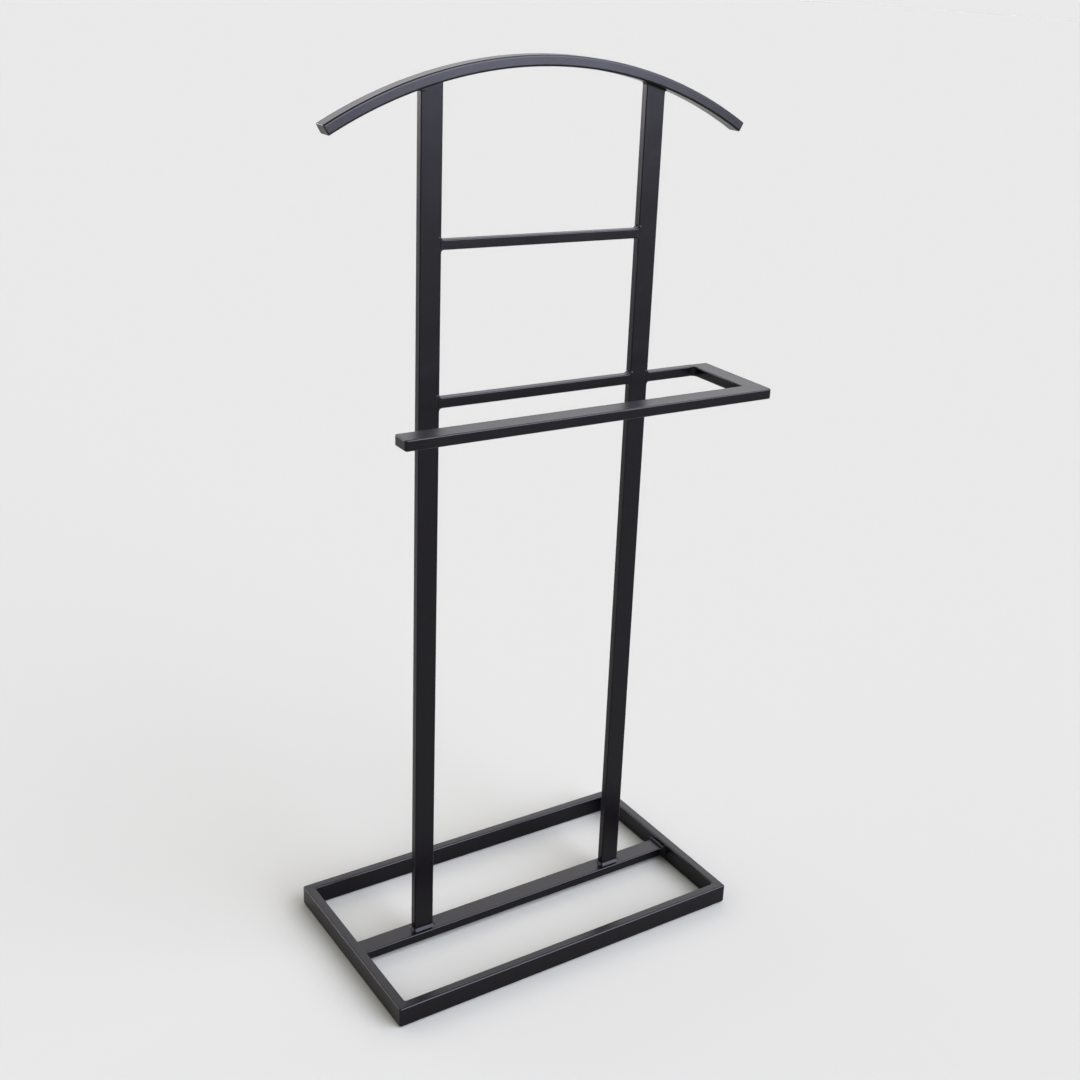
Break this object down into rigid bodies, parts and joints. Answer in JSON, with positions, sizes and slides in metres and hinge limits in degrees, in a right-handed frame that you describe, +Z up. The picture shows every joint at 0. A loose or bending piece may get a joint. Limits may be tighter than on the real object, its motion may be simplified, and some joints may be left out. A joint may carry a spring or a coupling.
{
  "type": "valet stand",
  "caption": "Welded steel-tube valet stand: mitred rectangular base, upright frame with a tie bar, an open-ended trouser rail and a curved shoulder arc on top.",
  "frame": {"origin": "on the floor, in the middle of the base rectangle", "axes": "+Z up, +Y towards the back (the side of the welded upright frame's flush face), -Y towards the trouser rail's front bar, +X towards the rail's closed end"},
  "size_m": [0.52, 0.275, 1.0613],
  "materials": {
    "powder_coat": "satin black powder coat",
    "felt": "matte pad"
  },
  "bodies": {
    "root": {"base_front_bar": "powder_coat", "base_back_bar": "powder_coat", "base_left_bar": "powder_coat", "base_right_bar": "powder_coat", "base_cross_bar": "powder_coat", "floor_pad_front_left": "felt", "floor_pad_back_left": "felt", "floor_pad_front_right": "felt", "floor_pad_back_right": "felt", "left_upright": "powder_coat", "right_upright": "powder_coat", "upper_crossbar": "powder_coat", "rail_back_bar": "powder_coat", "rail_stub": "powder_coat", "rail_side_arm": "powder_coat", "rail_arm_end_cap": "powder_coat", "rail_front_bar": "powder_coat", "rail_front_end_cap": "powder_coat", "shoulder_arc": "powder_coat", "shoulder_end_cap_left": "powder_coat", "shoulder_end_cap_right": "powder_coat"}
  },
  "joints": []
}
